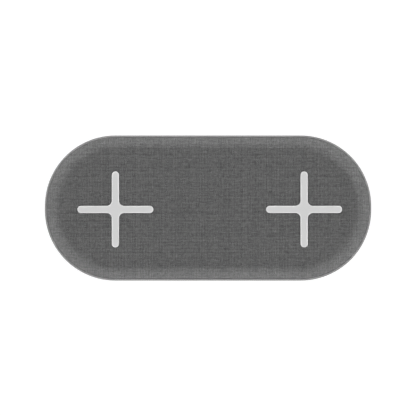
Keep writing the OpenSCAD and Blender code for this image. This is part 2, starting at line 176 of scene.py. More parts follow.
def stack_rings(name, rings, finish):
    """Rings of (x, y, z) points joined in order, with flat caps at the ends."""
    points, spans = [], []
    for ring in rings:
        spans.append(list(range(len(points), len(points) + len(ring))))
        points += ring
    faces = []
    for lower, upper in zip(spans, spans[1:]):
        faces += [tuple(reversed(f)) for f in ring_faces(lower, upper)]
    faces.append(tuple(spans[-1]))
    faces.append(tuple(reversed(spans[0])))
    return add_piece(name, points, faces, finish)


# --------------------------------------------------------------------------
# Material helpers
# --------------------------------------------------------------------------
SOCKETS = {
    "colour": "Base Color", "metallic": "Metallic", "roughness": "Roughness",
    "specular": "Specular IOR Level", "sheen": "Sheen Weight",
    "sheen_roughness": "Sheen Roughness", "coat": "Coat Weight",
    "coat_roughness": "Coat Roughness", "transmission": "Transmission Weight",
    "ior": "IOR", "normal": "Normal", "anisotropic": "Anisotropic",
    "glow": "Emission Color", "glow_strength": "Emission Strength",
}


def feed(tree, value, socket):
    """Links a socket from another, or sets its value."""
    if isinstance(value, bpy.types.NodeSocket):
        tree.links.new(value, socket)
    else:
        socket.default_value = value


def add_node(tree, kind, inputs, output=0, **settings):
    """A new node with its settings and inputs; gives one of its outputs."""
    made = tree.nodes.new("ShaderNode" + kind)
    for key, value in settings.items():
        setattr(made, key, value)
    for key, value in inputs.items():
        feed(tree, value, made.inputs[key])
    return made.outputs[output]


class Finish:
    """A material: one Principled shader and the nodes that feed it."""

    def __init__(self, name, **shader):
        self.material = bpy.data.materials.new(name)
        self.material.use_nodes = True
        self.tree = self.material.node_tree
        self.shader = next(n for n in self.tree.nodes if n.type == "BSDF_PRINCIPLED")
        self.use(**shader)

    def use(self, **inputs):
        """Sets or links the shader's own sockets, and gives the material."""
        for key, value in inputs.items():
            feed(self.tree, value, self.shader.inputs[SOCKETS[key]])
        return self.material

    def node(self, kind, inputs, output=0, **settings):
        return add_node(self.tree, kind, inputs, output, **settings)

    def math(self, operation, *values):
        return self.node("Math", dict(enumerate(values)), operation=operation)

    def add(self, a, b):
        return self.math("ADD", a, b)

    def times(self, a, b):
        return self.math("MULTIPLY", a, b)

    def place(self):
        """The point in the pad's own frame, in metres."""
        return self.node("TexCoord", {}, output="Object")

    def split(self, vector):
        parts = self.node("SeparateXYZ", {0: vector}).node.outputs
        return parts[0], parts[1], parts[2]

    def join(self, x, y, z=0.0):
        return self.node("CombineXYZ", {0: x, 1: y, 2: z})

    def stretch(self, vector, x, y, z):
        """The vector with each axis multiplied."""
        return self.node(
            "VectorMath", {0: vector, 1: (x, y, z)}, operation="MULTIPLY"
        )

    def cloud(self, vector, size, detail=2.0, rough=0.5):
        """Soft noise from 0 to 1 whose blobs are about size metres across."""
        return self.node(
            "TexNoise",
            {"Vector": vector, "Scale": 1 / size, "Detail": detail, "Roughness": rough},
        )

    def cells(self, vector, size, output="Distance"):
        return self.node(
            "TexVoronoi", {"Vector": vector, "Scale": 1 / size}, output=output
        )

    def random(self, vector):
        return self.node("TexWhiteNoise", {"Vector": vector}, output="Value")

    def span(self, value, low, high, to_low=0.0, to_high=1.0):
        """The value eased from one range to another, and held inside it."""
        return self.node(
            "MapRange",
            {"Value": value, "From Min": low, "From Max": high,
             "To Min": to_low, "To Max": to_high},
            interpolation_type="SMOOTHSTEP", clamp=True,
        )

    def follow(self, value, low, high):
        """A measure that rises from low to high with a noise."""
        return self.span(value, 0.2, 0.8, low, high)

    def vary(self, value, amount):
        """1 where value is a half, and up to amount more or less at its ends."""
        return self.add(self.times(self.add(value, -0.5), 2 * amount), 1.0)

    def tint(self, colour, factor):
        """The colour made lighter or darker by a factor."""
        return self.node(
            "VectorMath", {"Vector": colour[:3], "Scale": factor}, operation="SCALE"
        )

    def mix(self, factor, a, b):
        """A colour between a and b; the Mix node's colours are sockets 6 and 7."""
        return self.node("Mix", {0: factor, 6: a, 7: b}, output=2, data_type="RGBA")

    def bump(self, height, depth):
        """A normal from a height of 0 to 1 that stands for depth metres."""
        return self.node("Bump", {"Height": height, "Distance": depth, "Strength": 1.0})


def rgba(red, green, blue):
    return (red, green, blue, 1.0)


def grey(value):
    return rgba(value, value, value)


# --------------------------------------------------------------------------
# Materials
# --------------------------------------------------------------------------
WARP_PITCH = 0.546e-3
WEFT_PITCH = 0.521e-3
CLOTH_SHADE = 0.1205     # the cloth's colour before its yarns vary it
DRIFT = 0.5e-3           # how far the yarns wander, and over what length
DRIFT_SIZE = 8e-3
FLOAT_LIFT = 0.5         # how much the yarn on top stands over the one below
TENSION = 1.6            # how much, and over what length, one set of yarns
TENSION_SIZE = 2.6e-3    # is tighter than the other
TONE_SPREAD = 1.11       # between the darkest yarn and the lightest
YARN_SHARE = 0.12        # of a yarn's tone that stays the same all along it
WARP_SLUBS = 330.0       # slubs in a metre of yarn
WEFT_SLUBS = 300.0
FIBRE_SIZE = 0.16e-3
REED_ENDS = 3            # warp yarns in each dent of the reed
REED_SHADE = 0.09
BEATS = ((3.7, 0.6), (5.3, 1.2))    # weft yarns in each bar, and a seed
BEAT_SHADE = 0.088
BEAT_SLIP = 9.0          # how far a bar's phase slips, in radians
SLIP_SIZE = 8e-3
BAR_SIZE = 9e-3          # patches in which the bars show more or less
PATCH_SIZE = 14e-3
TURN_PAINTED_SHADE = 0.38      # painted shade: how much the cloth's colour is darkened where it turns down at the trim
WEAVE_DEPTH = 0.05e-3


def woven_fabric():
    """Plain weave of melange yarns, laid out on the cloth as it was cut."""
    f = Finish("woven_fabric", roughness=0.9, specular=0.06, sheen=0.05,
               sheen_roughness=0.5)
    cut = f.node("UVMap", {}, uv_map="weave")
    # The yarns wander a little
    drift = f.node("TexNoise", {"Vector": cut, "Scale": 1 / DRIFT_SIZE, "Detail": 1.0},
                   output="Color")
    wander = f.node("VectorMath", {0: drift, 1: (-0.5, -0.5, -0.5)}, operation="ADD")
    wander = f.node("VectorMath", {"Vector": wander, "Scale": DRIFT},
                    operation="SCALE")
    laid = f.node("VectorMath", {0: cut, 1: wander}, operation="ADD")
    x, y, _ = f.split(laid)
    # Which warp and weft yarn a point is on, and where it is across each
    warp, weft = f.times(x, 1 / WARP_PITCH), f.times(y, 1 / WEFT_PITCH)
    i, j = f.math("FLOOR", warp), f.math("FLOOR", weft)
    across_warp = f.add(f.math("SUBTRACT", warp, i), -0.5)
    across_weft = f.add(f.math("SUBTRACT", weft, j), -0.5)
    crown_warp = f.math("COSINE", f.times(across_warp, math.pi))
    crown_weft = f.math("COSINE", f.times(across_weft, math.pi))
    # Over and under by turns; where one set of yarns is tighter it shows less
    parity = f.math("FLOORED_MODULO", f.add(i, j), 2.0)
    sign = f.add(f.times(parity, -2.0), 1.0)
    tension = f.add(f.cloud(cut, TENSION_SIZE, rough=0.6), -0.5)
    warp_height = f.add(
        f.add(crown_warp, f.times(f.times(sign, crown_weft), FLOAT_LIFT)),
        f.times(tension, TENSION))
    weft_height = f.math("SUBTRACT", crown_weft,
                         f.times(f.times(sign, crown_warp), FLOAT_LIFT))
    height = f.math("MAXIMUM", warp_height, weft_height)
    warp_on_top = f.math("GREATER_THAN", warp_height, weft_height)

    def yarn_tone(yarn, path):
        """The tone of a yarn, with slubs along the path that it takes."""
        return f.add(f.times(f.random(yarn), YARN_SHARE),
                     f.times(f.cloud(path, 1.0, rough=0.7), 1 - YARN_SHARE))

    warp_tone = yarn_tone(f.join(i, 3.0),
                          f.join(f.times(i, 0.9), f.times(y, WARP_SLUBS)))
    weft_tone = yarn_tone(f.join(5.0, j),
                          f.join(f.times(x, WEFT_SLUBS), f.times(j, 1.3), 9.0))
    tone = f.add(
        f.times(warp_on_top, f.math("SUBTRACT", warp_tone, weft_tone)), weft_tone)
    fibres = f.cloud(laid, FIBRE_SIZE, rough=0.7)
    # Painted shade: the gaps between the yarns are darkened, as shade falls there
    gap_painted_shade = f.span(height, 0.1, 0.95, 0.45, 1.0)
    # Faint bars where the reed and the beat-up spaced the yarns in groups
    reed = f.times(f.math("SINE", f.times(warp, 2 * math.pi / REED_ENDS)),
                   f.cloud(f.join(x, y, 0.3), BAR_SIZE, detail=1.0))
    bars = f.add(f.times(reed, REED_SHADE), 1.0)
    for group, seed in BEATS:
        slip = f.times(f.cloud(f.join(x, y, seed), SLIP_SIZE, detail=1.0), BEAT_SLIP)
        beat = f.math("SINE", f.add(f.times(weft, 2 * math.pi / group), slip))
        strong = f.cloud(f.join(x, y, seed + 0.3), BAR_SIZE, detail=1.0)
        bars = f.add(bars, f.times(f.times(beat, strong), BEAT_SHADE))
    shade = f.times(f.times(f.vary(tone, TONE_SPREAD), bars),
                    f.times(gap_painted_shade, f.vary(fibres, 0.2)))
    # Painted shade: the cloth's colour is darkened where it turns down at the trim,
    # standing in for the shade in the groove by the lip
    turned = f.node("Attribute", {}, output="Fac", attribute_name="turned")
    shade = f.times(shade, f.add(f.times(turned, -TURN_PAINTED_SHADE), 1.0))
    patches = f.vary(f.cloud(cut, PATCH_SIZE), 0.05)
    colour = f.tint(grey(CLOTH_SHADE), f.times(shade, patches))
    relief = f.times(f.add(height, f.times(fibres, 0.25)), 0.6)
    return f.use(colour=colour, normal=f.bump(relief, WEAVE_DEPTH))


FLOW_SIZE = 22e-3        # soft mottling of a moulding


def moulded(name, colour, roughness, grain=0.35e-3, depth=0.012e-3, mottle=0.05,
            **shader):
    """Moulded plastic or rubber: fine spark-eroded grain and soft mottling."""
    f = Finish(name, **shader)
    where = f.place()
    pebbles = f.cells(where, grain)
    dust = f.cloud(where, grain / 3, detail=3.0, rough=0.65)
    flow = f.cloud(where, FLOW_SIZE)
    skin = f.add(f.times(pebbles, 0.7), f.times(dust, 0.5))
    tone = f.times(f.vary(flow, mottle), f.vary(dust, mottle))
    return f.use(
        colour=f.tint(colour, tone),
        roughness=f.times(f.vary(f.add(f.times(flow, 0.5), f.times(dust, 0.5)), 0.18),
                          roughness),
        normal=f.bump(skin, depth))


LINES_ALONG = 60.0       # lines drawn in metal, in a metre along and across
LINES_ACROSS = 9000.0
SMUDGE_SIZE = 6e-3


def brushed(name, colour, roughness, grain_axis="x", depth=0.004e-3, **shader):
    """Drawn or rolled metal with fine lines along one axis."""
    f = Finish(name, metallic=1.0, anisotropic=0.35, **shader)
    where = f.place()
    scale = [LINES_ACROSS] * 3
    scale["xyz".index(grain_axis)] = LINES_ALONG
    lines = f.cloud(f.stretch(where, *scale), 1.0, detail=3.0, rough=0.7)
    smudge = f.cloud(where, SMUDGE_SIZE, detail=3.0)
    return f.use(
        colour=f.tint(colour, f.times(f.vary(lines, 0.12), f.vary(smudge, 0.06))),
        roughness=f.times(f.vary(smudge, 0.3), roughness),
        normal=f.bump(lines, depth))


def speckled(name, base, fleck, roughness, size, share=0.3, depth=0.01e-3, **shader):
    """A sintered or filled material with flecks of a second colour."""
    f = Finish(name, **shader)
    where = f.place()
    grains = f.cells(where, size, output="Color")
    pick = f.span(f.split(grains)[0], 1 - share, 1 - share + 0.1)
    fine = f.cloud(where, size / 2, detail=3.0, rough=0.7)
    return f.use(
        colour=f.mix(f.times(pick, f.vary(fine, 0.5)), base, fleck),
        roughness=f.times(f.vary(fine, 0.25), roughness),
        normal=f.bump(fine, depth))


def litz(name, colour, lay=1.1e-3, **shader):
    """Enamelled copper strands twisted into a lead."""
    f = Finish(name, metallic=0.85, coat=0.5, coat_roughness=0.2, **shader)
    where = f.place()
    x, y, z = f.split(where)
    twist = f.times(f.add(f.add(x, y), f.times(z, 1.7)), 2 * math.pi / lay)
    strands = f.times(f.add(f.math("SINE", twist), 1.0), 0.5)
    wear = f.cloud(where, 0.9e-3, detail=3.0)
    # Painted shade: the colour darkens in the grooves between the strands
    return f.use(
        colour=f.tint(colour, f.times(f.span(strands, 0.0, 1.0, 0.55, 1.0),
                                      f.vary(wear, 0.15))),
        roughness=f.follow(wear, 0.28, 0.45),
        normal=f.bump(strands, 0.03e-3))


TRACES = 150.0           # rows of traces in a metre of board
POUR_SIZE = 9e-3
GLASS_PITCH = 0.9e-3     # glass cloth under the solder mask


def board_laminate():
    """Solder mask over copper: pours, traces and the glass cloth under them."""
    f = Finish("board_laminate", coat=0.4, coat_roughness=0.15, specular=0.5)
    where = f.place()
    x, y, _ = f.split(where)
    traces = f.node("TexBrick", {"Vector": where, "Scale": TRACES,
                                 "Mortar Size": 0.03, "Mortar Smooth": 0.2},
                    output="Fac")
    pours = f.span(f.cloud(where, POUR_SIZE, detail=1.0), 0.48, 0.52)
    copper = f.math("MAXIMUM", traces, f.times(pours, 0.6))
    glass = f.times(f.math("SINE", f.times(x, 2 * math.pi / GLASS_PITCH)),
                    f.math("SINE", f.times(y, 2 * math.pi / GLASS_PITCH)))
    colour = f.mix(copper, rgba(0.004, 0.045, 0.022), rgba(0.015, 0.11, 0.05))
    return f.use(
        colour=colour,
        roughness=f.follow(f.cloud(where, 2e-3), 0.28, 0.42),
        normal=f.bump(f.add(f.times(copper, 0.8), f.times(glass, 0.08)), 0.03e-3))


LABEL_LINE = (1.3e-3, 1.7e-3)       # the printed line, in from the label's edge
LABEL_SOFT = 0.05e-3


def label_film():
    """A blank matt film with a printed frame line."""
    f = Finish("label_film", specular=0.4)
    low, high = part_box("rating_label")
    where = f.place()
    x, y, _ = f.split(where)
    edge_x = f.math("SUBTRACT", high.x, f.math("ABSOLUTE", x))
    edge_y = f.math("SUBTRACT", high.y, f.math("ABSOLUTE", y))
    edge = f.math("MINIMUM", edge_x, edge_y)
    outer, inner = LABEL_LINE
    line = f.times(f.span(edge, outer, outer + LABEL_SOFT),
                   f.span(edge, inner - LABEL_SOFT, inner, 1, 0))
    fine = f.cloud(where, 0.2e-3, detail=3.0)
    return f.use(
        colour=f.mix(line, f.tint(grey(0.42), f.vary(fine, 0.06)), grey(0.08)),
        roughness=f.follow(fine, 0.42, 0.55),
        normal=f.bump(fine, 0.004e-3))


PIPE_CORE_R = 0.35e-3    # the palest part of a light pipe's end
PIPE_R = 0.9e-3


def light_pipe():
    """Acrylic with a frosted end, palest on its axis and duller towards its rim."""
    f = Finish("light_pipe_acrylic", transmission=0.35, ior=1.49, specular=0.25)
    low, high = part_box("light_pipe_right")
    where = f.place()
    x, _, z = f.split(where)
    off_x = f.add(f.math("ABSOLUTE", x), -(low.x + high.x) / 2)
    off_z = f.add(z, -(low.z + high.z) / 2)
    off = f.math("SQRT", f.add(f.times(off_x, off_x), f.times(off_z, off_z)))
    haze = f.cloud(where, 0.5e-3, detail=3.0)
    return f.use(
        colour=f.tint(grey(0.36), f.times(f.span(off, PIPE_CORE_R, PIPE_R, 1.0, 0.6),
                                          f.vary(haze, 0.1))),
        roughness=f.follow(haze, 0.45, 0.6),
        normal=f.bump(haze, 0.006e-3))


FINISHES = {
    "woven_fabric": woven_fabric(),
    "mark_silicone": moulded("mark_silicone", grey(0.627), 0.62, grain=0.3e-3,
                             depth=0.004e-3, mottle=0.012, specular=0.3),
    "trim_plastic": moulded("trim_plastic", grey(0.22), 0.5, grain=0.25e-3,
                            depth=0.008e-3, mottle=0.04, specular=0.25),
    "shell_plastic": moulded("shell_plastic", grey(0.11), 0.5, grain=0.4e-3),
    "base_plastic": moulded("base_plastic", grey(0.11), 0.55, grain=0.45e-3,
                            depth=0.05e-3, mottle=0.14, specular=0.2),
    "foot_rubber": moulded("foot_rubber", grey(0.022), 0.78, grain=0.22e-3,
                           depth=0.02e-3, mottle=0.18, specular=0.35),
    "label_film": label_film(),
    "screw_steel": brushed("screw_steel", rgba(0.30, 0.30, 0.31), 0.34),
    "litz_copper": litz("litz_copper", rgba(0.72, 0.30, 0.13)),
    "adhesive_tape": moulded("adhesive_tape", rgba(0.66, 0.58, 0.34), 0.6,
                             grain=1.2e-3, depth=0.008e-3, mottle=0.1),
    "ferrite_plate": speckled("ferrite_plate", grey(0.022), grey(0.06), 0.5, 0.4e-3),
    "carrier_plastic": moulded("carrier_plastic", grey(0.55), 0.42, grain=0.5e-3),
    "lead_enamel": litz("lead_enamel", rgba(0.62, 0.22, 0.08)),
    "bead_epoxy": speckled("bead_epoxy", rgba(0.02, 0.02, 0.024), grey(0.05), 0.3,
                           0.3e-3, coat=0.3, coat_roughness=0.2),
    "sensor_wire": moulded("sensor_wire", rgba(0.55, 0.04, 0.03), 0.4, grain=0.2e-3),
    "board_laminate": board_laminate(),
    "connector_steel": brushed("connector_steel", rgba(0.62, 0.61, 0.59), 0.24,
                               grain_axis="y"),
    "connector_plastic": moulded("connector_plastic", grey(0.018), 0.45,
                                 grain=0.15e-3),
    "chip_epoxy": speckled("chip_epoxy", grey(0.018), grey(0.04), 0.55, 0.12e-3),
    "capacitor_ceramic": speckled("capacitor_ceramic", rgba(0.42, 0.29, 0.17),
                                  rgba(0.55, 0.42, 0.28), 0.45, 0.2e-3),
    "capacitor_case": speckled("capacitor_case", rgba(0.62, 0.42, 0.07),
                               rgba(0.72, 0.52, 0.12), 0.42, 0.25e-3),
    "inductor_core": speckled("inductor_core", grey(0.05), grey(0.11), 0.6, 0.25e-3,
                              share=0.4, depth=0.03e-3),
    "crystal_can": brushed("crystal_can", rgba(0.70, 0.68, 0.62), 0.22),
    "led_package": speckled("led_package", rgba(0.78, 0.76, 0.62),
                            rgba(0.85, 0.82, 0.55), 0.35, 0.2e-3),
    "light_pipe_acrylic": light_pipe(),
    "spreader_aluminium": brushed("spreader_aluminium", rgba(0.76, 0.77, 0.78), 0.3),
    "thermal_silicone": speckled("thermal_silicone", rgba(0.28, 0.42, 0.52),
                                 rgba(0.36, 0.50, 0.60), 0.7, 0.3e-3),
}


# Every CAD node takes the finish of its own material slot
for node_name in NODES:
    for slot in NODES[node_name].material_slots:
        slot.material = FINISHES[slot.material.name.split(".")[0]]


# --------------------------------------------------------------------------
# Position marks
# --------------------------------------------------------------------------
def cross_outline(centre, span, offset, cap_steps=14, fillet_steps=8, line_steps=24):
    """Once round a plus with round tips, grown by offset, anticlockwise."""
    half = MARK_W / 2 + offset
    tip = span / 2 - MARK_W / 2
    root = MARK_W / 2 + MARK_FILLET
    arm = [(root + (tip - root) * k / line_steps, -half) for k in range(line_steps)]
    arm += arc((tip, 0), half, -90, 90, cap_steps)
    arm += [(tip + (root - tip) * k / line_steps, half) for k in range(1, line_steps)]
    arm += arc((root, root), MARK_FILLET - offset, 270, 180, fillet_steps)[:-1]
    points = []
    for c, s in ((1, 0), (0, 1), (-1, 0), (0, -1)):     # cosine, sine of each turn
        points += [
            (centre[0] + x * c - y * s, centre[1] + x * s + y * c) for x, y in arm
        ]
    return points


MARK_CROWN_R = 1.85      # the mark's top falls away on this arc near its edge
MARK_CROWN = 0.85        # width of that arc
MARK_CROWN_STEPS = 9
MARK_FLAT = 0.12         # a last ring, inside the arc, before the flat middle
MARK_EDGE_R = 0.05
MARKS = {}               # each mark's centre and span
for side in ("left", "right"):
    mark_low, mark_high = box_mm("cross_mark_" + side)
    mark_centre = (mark_low[:2] + mark_high[:2]) / 2
    mark_span = mark_high[0] - mark_low[0]
    MARKS[side] = (tuple(mark_centre), mark_span)
    crown = [
        (-d, mark_high[2] - (MARK_CROWN - d) ** 2 / (2 * MARK_CROWN_R))
        for d in np.linspace(MARK_EDGE_R, MARK_CROWN, MARK_CROWN_STEPS + 1)
    ]
    crown_z, soft = crown[0][1], 0.3 * MARK_EDGE_R
    profile = [
        (0.0, mark_low[2]), (0.0, crown_z - MARK_EDGE_R), (-soft, crown_z - soft),
        *crown, (-MARK_CROWN - MARK_FLAT, mark_high[2])]
    mark = stack_rings(
        f"mark_{side}_inlay",
        [[(x, y, z) for x, y in cross_outline(mark_centre, mark_span, offset)]
         for offset, z in profile],
        FINISHES["mark_silicone"])
    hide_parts("cross_mark_" + side)


# --------------------------------------------------------------------------
# Woven cover
# --------------------------------------------------------------------------
CLOTH_GAP = 0.10         # between the cloth's cut edge and a mark
TUCK_DEPTH = 0.22        # how far the cloth dips where a mark presses it down
TUCK_REACH = 0.36
SHOULDER_R = 0.8
HEM_FOLD_R = 0.62
CLOTH_T = 0.36
CLOTH_LOWERED = 0.03     # below the CAD's face, so that unevenness stays inside
UNEVEN = ((0.030, 17, 1.7), (0.012, 5, 8.3))    # height, size and a seed
EVEN_RIM = 6.0           # the unevenness fades out over this width at the roll

# The mesh: its rings round a mark, its grid, its rows and its steps
RINGS_ROUND_MARK = (0.0, 0.1, 0.22, 0.36, 0.55, 0.85, 1.3)
FINE_CROSS = (40, 24, 160)          # steps of the outline that distances are from
TOP_GRID = 0.9
HOLE_SLACK = 0.004
COVER_STEPS = (84, 150, 4)          # in a corner's arc, a long side and an end
ROLL_STEPS = (8, 8, 4)   # in each stretch of the roll, down to the shoulder
SHOULDER_STEPS = 7
SIDE_STEPS = 3
FOLD_STEPS = 6
HEM_STEPS = 3
TURN_STEPS = 4           # steps past the roll over which the painted shade comes in

# How the cloth rolls over: insets at which it leaves the flat, tightens, and
# reaches its full slope, with the sines of the slopes there. The roll is tighter
# along the yarns than on the bias.
ROLL_STRAIGHT = ((9.6, 0.0), (6.65, 0.275), (3.6, 0.452))
ROLL_BIAS = ((10.8, 0.0), (7.36, 0.324), (2.6, 0.496))


def cloth_profile(roll):
    """Rows of (rho, z, length along the cloth) from the flat top to the hem."""
    side_rho = CORNER_R - FABRIC_INSET
    shoulder_rho = side_rho - SHOULDER_R
    (start, _), (knee, _), (full, sine) = roll
    slope = math.asin(sine)
    slope_end = CORNER_R - shoulder_rho - SHOULDER_R * sine
    stops = (start, knee, full, slope_end)
    insets = np.concatenate([[start]] + [
        np.linspace(a, b, steps + 1)[1:]
        for a, b, steps in zip(stops, stops[1:], ROLL_STEPS)])
    sines = np.interp(-insets, [-k for k, _ in roll], [v for _, v in roll])
    falls = np.tan(np.arcsin(sines))
    drops = np.concatenate((
        [0.0], np.cumsum((falls[1:] + falls[:-1]) / 2 * -np.diff(insets))))
    points = [(CORNER_R - i, CLOTH_HIGH[2] - d) for i, d in zip(insets, drops)]
    shoulder_z = points[-1][1] - SHOULDER_R * math.cos(slope)
    points += arc((shoulder_rho, shoulder_z), SHOULDER_R,
                  90 - math.degrees(slope), 0, SHOULDER_STEPS)[1:]
    hem = CLOTH_LOW[2]
    fold_z = hem + HEM_FOLD_R
    points += [(side_rho, shoulder_z + (fold_z - shoulder_z) * k / SIDE_STEPS)
               for k in range(1, SIDE_STEPS)]
    start_rho, end_rho = side_rho - HEM_FOLD_R, CORNER_R - HEM_INSET
    points += arc((start_rho, fold_z), HEM_FOLD_R, 0, -90, FOLD_STEPS)
    points += [(start_rho + (end_rho - start_rho) * k / HEM_STEPS, hem)
               for k in range(1, HEM_STEPS + 1)]
    lengths = [0.0]
    for a, b in zip(points, points[1:]):
        lengths.append(lengths[-1] + math.dist(a, b))
    return np.array([(rho, z, s) for (rho, z), s in zip(points, lengths)])


def bias(nx, ny):
    """0 on the long sides, 1 at 45 degrees to the yarns and a half at the ends."""
    along_yarns = (1 - (2 * nx * ny) ** 2) ** 2
    return 1 - along_yarns * (1 - 0.5 * nx ** 4)


def unevenness(x, y):
    """The slight unevenness of cloth glued over a moulding, in millimetres."""
    return sum(height * noise.noise(Vector((x / size, y / size, seed)))
               for height, size, seed in UNEVEN)


def flat_room(x, y):
    """How far inside the edge of the cloth's flat top a point is."""
    qx, qy = max(abs(x) - ARC_X, 0), max(abs(y) - ARC_Y, 0)
    out = math.hypot(qx, qy)
    mix = bias(qx / out, qy / out) if out else 0.0
    return ((CORNER_R - ROLL_STRAIGHT[0][0]) * (1 - mix)
            + (CORNER_R - ROLL_BIAS[0][0]) * mix - out)


def inside_cross(x, y, margin):
    """Whether a point is inside the cloth's hole for a mark, grown by margin."""
    half = MARK_W / 2 + CLOTH_GAP
    root = MARK_W / 2 + MARK_FILLET
    for centre, span in MARKS.values():
        u, v = abs(x - centre[0]), abs(y - centre[1])
        tip = span / 2 - MARK_W / 2
        reach = min(math.hypot(max(u - tip, 0), v), math.hypot(max(v - tip, 0), u))
        in_fillet = u < root and v < root and (
            math.hypot(root - u, root - v) > MARK_FILLET - CLOTH_GAP - margin)
        if reach < half + margin or in_fillet:
            return True
    return False


def flat_top(outline):
    """The cloth's flat top as a mesh with holes for the marks.

    Gives its points, its triangles and where the outline's points went.
    """
    points = [tuple(p) for p in outline]
    loops = [list(range(len(points)))]
    for centre, span in MARKS.values():
        for offset in RINGS_ROUND_MARK:
            ring = cross_outline(centre, span, CLOTH_GAP + offset)
            if offset == 0.0:
                loops.append([len(points) + k for k in range(len(ring))])
            points += ring
    clear = RINGS_ROUND_MARK[-1] + 0.4 * TOP_GRID
    for x in np.arange(-BASE_HIGH[0], BASE_HIGH[0], TOP_GRID):
        for y in np.arange(-BASE_HIGH[1], BASE_HIGH[1], TOP_GRID):
            if flat_room(x, y) > 0.5 * TOP_GRID and not inside_cross(x, y, clear):
                points.append((x, y))
    edges = [(loop[k - 1], loop[k]) for loop in loops for k in range(len(loop))]
    flat, _, triangles, origins, _, _ = geometry.delaunay_2d_cdt(
        [Vector(p) for p in points], edges, [], 0, 1e-6)
    place = {old: new for new, olds in enumerate(origins) for old in olds}
    faces = []
    for t in triangles:
        mid = sum((flat[k] for k in t), Vector((0, 0))) / 3
        if not inside_cross(mid.x, mid.y, -HOLE_SLACK):
            faces.append(tuple(t))
    return flat, faces, [place[k] for k in range(len(outline))]


def woven_cover():
    """The cloth: a flat top with two holes, a roll, a side, and a folded hem."""
    centres, normals = walk_outline(*COVER_STEPS)
    straight, on_bias = cloth_profile(ROLL_STRAIGHT), cloth_profile(ROLL_BIAS)
    count = len(centres)
    share = bias(normals[:, 0], normals[:, 1])[:, None]
    # For each point of the outline, its own (rho, z, length) at each row
    rows = [a * (1 - share) + b * share for a, b in zip(straight, on_bias)]
    flat_ring = centres + normals * rows[0][:, :1]
    flat, faces, lower = flat_top(flat_ring)

    near = kdtree.KDTree(10000)
    for centre, span in MARKS.values():
        for x, y in cross_outline(centre, span, CLOTH_GAP, *FINE_CROSS):
            near.insert((x, y, 0), 0)
    near.balance()
    points = []
    for p in flat:
        distance = near.find((p.x, p.y, 0))[2]
        dip = TUCK_DEPTH * math.exp(-((distance / TUCK_REACH) ** 2))
        free = min(max(flat_room(p.x, p.y) / EVEN_RIM, 0.0), 1.0)
        points.append((p.x, p.y, CLOTH_HIGH[2] - dip - CLOTH_LOWERED
                       + free * unevenness(p.x, p.y)))
    cut_sheet = [(p.x, p.y) for p in flat]
    turned = [0.0] * len(flat)

    for number, row in enumerate(rows[1:], 1):
        ring = centres + normals * row[:, :1]
        upper = list(range(len(points), len(points) + count))
        points += [(x, y, z - CLOTH_LOWERED) for (x, y), z in zip(ring, row[:, 1])]
        cut_sheet += [tuple(p) for p in flat_ring + normals * row[:, 2:]]
        # How far past the roll each row is; it sets the painted shade on the turned-down
        # cloth
        past_roll = (number - sum(ROLL_STEPS)) / TURN_STEPS
        turned += [min(max(past_roll, 0.0), 1.0)] * count
        faces += ring_faces(lower, upper)
        lower = upper

    cover = add_piece("woven_cover", points, faces,
                      FINISHES["woven_fabric"])
    sheet_uv = cover.data.uv_layers.new(name="weave")
    cut = np.array(cut_sheet)[[loop.vertex_index for loop in cover.data.loops]]
    sheet_uv.data.foreach_set("uv", (cut * MM).astype(np.float32).ravel())
    cover.data.attributes.new("turned", "FLOAT", "POINT").data.foreach_set(
        "value", turned)
    thick = cover.modifiers.new("cloth_thickness", "SOLIDIFY")
    thick.thickness = CLOTH_T * MM
    thick.offset = -1
    bake_modifiers(cover)
    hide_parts("fabric_cover")


woven_cover()


# --------------------------------------------------------------------------
# Trim ring
# --------------------------------------------------------------------------
LIP_FALL = 0.26          # the lip's top falls by this much outwards
LIP_WIDTH = 0.76
LIP_OUTER_R = 0.06
LIP_INNER_R = 0.12
FLANGE_EDGE_R = 0.1
TRIM_STEPS = (72, 60, 3)


def trim_profile():
    """The flange that the hem stands on, and the lip with its round top."""
    outer = CORNER_R - LEDGE
    inner = outer - LIP_WIDTH
    flange_end = CORNER_R - FLANGE_INSET
    low, high = TRIM_LOW[2], TRIM_HIGH[2]
    flange_top = CLOTH_LOW[2]
    points = [(flange_end, low)]
    points += arc((outer - FLANGE_EDGE_R, low + FLANGE_EDGE_R), FLANGE_EDGE_R,
                  -90, 0, 3)
    points += arc((outer - LIP_OUTER_R, high - LIP_FALL - LIP_OUTER_R), LIP_OUTER_R,
                  0, 60, 4)
    points += arc((inner + LIP_INNER_R, high - LIP_INNER_R), LIP_INNER_R, 70, 180, 6)
    points += [(inner, flange_top), (flange_end, flange_top)]
    return points


trim = sweep("trim_lip_ring", trim_profile(), TRIM_STEPS,
             FINISHES["trim_plastic"])
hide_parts("trim_ring")


# --------------------------------------------------------------------------
# Foot strips
# --------------------------------------------------------------------------
FOOT_EDGE_R = 0.45
FOOT_SOLE_STEP = 0.3     # a last ring on the sole, inside the rounded edge
FOOT_SIDE_STEPS = 60
FOOT_END_STEPS = 18


def strip_outline(low, high, inset):
    """Once round a strip with round ends, anticlockwise."""
    half = (high[1] - low[1]) / 2
    middle = (high[1] + low[1]) / 2
    tip = high[0] - half
    steps = FOOT_SIDE_STEPS
    points = [(-tip + 2 * tip * k / steps, middle - half + inset)
              for k in range(steps)]
    points += arc((tip, middle), half - inset, -90, 90, FOOT_END_STEPS)
    points += [(tip - 2 * tip * k / steps, middle + half - inset)
               for k in range(1, steps)]
    points += arc((-tip, middle), half - inset, 90, 270, FOOT_END_STEPS)[:-1]
    return points


for side in ("front", "rear"):
    foot_low, foot_high = box_mm("foot_strip_" + side)
    edge = [(FOOT_EDGE_R + x, FOOT_EDGE_R + z)
            for x, z in arc((0, 0), FOOT_EDGE_R, 270, 180, 6)]
    profile = [(FOOT_EDGE_R + FOOT_SOLE_STEP, 0.0), *edge, (0.0, foot_high[2])]
    rings = [[(x, y, foot_low[2] + z)
              for x, y in strip_outline(foot_low, foot_high, inset)]
             for inset, z in profile]
    foot = stack_rings(f"foot_{side}_rubber", rings,
                       FINISHES["foot_rubber"])
    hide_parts("foot_strip_" + side)


